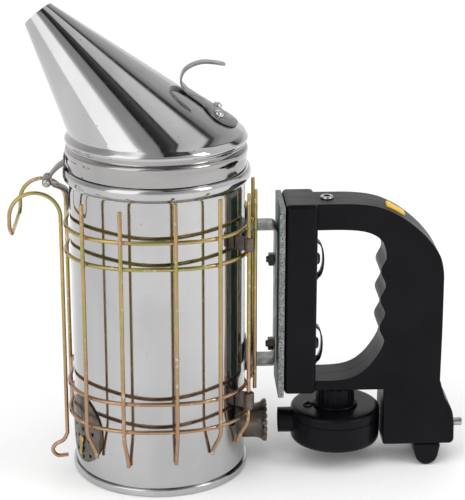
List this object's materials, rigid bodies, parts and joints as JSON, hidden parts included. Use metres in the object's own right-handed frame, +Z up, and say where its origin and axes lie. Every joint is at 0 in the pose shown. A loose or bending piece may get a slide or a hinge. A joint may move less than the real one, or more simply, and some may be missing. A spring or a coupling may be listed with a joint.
{
  "type": "bee smoker",
  "caption": "Electric bee smoker: round steel fire pot with a hinged leaning spout lid, wire guard with hanging hook, bracket, and a loop handle carrying a small blower and battery block.",
  "frame": {"origin": "middle of the part's bounding box in X and Y, on the plane that the fire pot's base stands on", "axes": "+Z up along the fire pot's axis; +X from the fire pot towards the handle; the XZ plane runs through the spout, the hinge and the handle"},
  "size_m": [0.2656, 0.114, 0.2762],
  "materials": {
    "mirror_steel": "mirror-polished stainless sheet",
    "dull_steel": "plain, slightly stained steel",
    "cast_metal": "rough grey flat bar",
    "passivated_wire": "yellow-passivated zinc on wire",
    "teal_board": "dark green-blue moulded board with speckled edges",
    "black_plastic": "fine satin moulding",
    "yellow_plastic": "satin yellow push-button",
    "cell_wrap": "shrink-wrapped round cell",
    "brass": "tarnished brass"
  },
  "bodies": {
    "pot_and_handle": {"fire_pot_shell": "mirror_steel", "base_pan": "dull_steel", "ash_grate": "dull_steel", "air_inlet_tube": "dull_steel", "vent_disc": "dull_steel", "hinge_leaf_body": "dull_steel", "hinge_pin": "dull_steel", "guard_clip_near_upper": "dull_steel", "guard_clip_near_lower": "dull_steel", "guard_clip_far_upper": "dull_steel", "guard_clip_far_lower": "dull_steel", "bracket_bolt_upper": "dull_steel", "bracket_bolt_lower": "dull_steel", "bracket_nut_upper": "dull_steel", "bracket_nut_lower": "dull_steel", "case_screw_upper": "dull_steel", "case_screw_lower": "dull_steel", "charge_socket": "dull_steel", "thumb_screw": "dull_steel", "motor": "dull_steel", "volute_screw": "dull_steel", "bracket_strap": "cast_metal", "guard_ring_1": "passivated_wire", "guard_ring_2": "passivated_wire", "guard_ring_3": "passivated_wire", "guard_ring_4": "passivated_wire", "guard_upright_near_1": "passivated_wire", "guard_upright_near_2": "passivated_wire", "guard_upright_near_3": "passivated_wire", "guard_upright_near_4": "passivated_wire", "guard_upright_near_5": "passivated_wire", "guard_upright_far_1": "passivated_wire", "guard_upright_far_2": "passivated_wire", "guard_upright_far_3": "passivated_wire", "guard_upright_far_4": "passivated_wire", "guard_end_near": "passivated_wire", "guard_end_far": "passivated_wire", "hook_frame": "passivated_wire", "backing_board": "teal_board", "bow_clip_upper": "black_plastic", "bow_clip_lower": "black_plastic", "handle_shell_near": "black_plastic", "handle_shell_far": "black_plastic", "switch_body": "black_plastic", "battery_door": "black_plastic", "blower_volute": "black_plastic", "blower_cover": "black_plastic", "motor_housing": "black_plastic", "battery_cell_front": "cell_wrap", "battery_cell_rear": "cell_wrap"},
    "lid": {"lid_cone": "mirror_steel", "lid_collar": "mirror_steel", "finger_tab": "dull_steel", "tab_rivet_near": "dull_steel", "tab_rivet_far": "dull_steel", "hinge_leaf_lid": "dull_steel"},
    "button": {"switch_button": "yellow_plastic"},
    "rotor": {"motor_shaft": "dull_steel", "impeller": "black_plastic"},
    "shutter": {"vent_shutter": "brass"}
  },
  "joints": [
    {"name": "lid_hinge", "type": "hinge", "parent": "pot_and_handle", "child": "lid", "pos_m": [-0.11075, 0, 0.175], "axis": [0, -1, 0], "range_deg": [0, 110]},
    {"name": "button_press", "type": "slide", "parent": "pot_and_handle", "child": "button", "axis": [-0.5135, 0, -0.8581], "range_m": [0, 0.0012], "stiffness_N_per_m": 600, "springref_m": -0.0006},
    {"name": "rotor_spin", "type": "hinge", "parent": "pot_and_handle", "child": "rotor", "pos_m": [0.05595, 0, 0.034], "axis": [0, 0, 1], "continuous": true},
    {"name": "vent_turn", "type": "hinge", "parent": "pot_and_handle", "child": "shutter", "pos_m": [-0.09249, -0.02386, 0.0255], "axis": [-0.8788, -0.4772, 0], "range_deg": [-45, 45]}
  ]
}
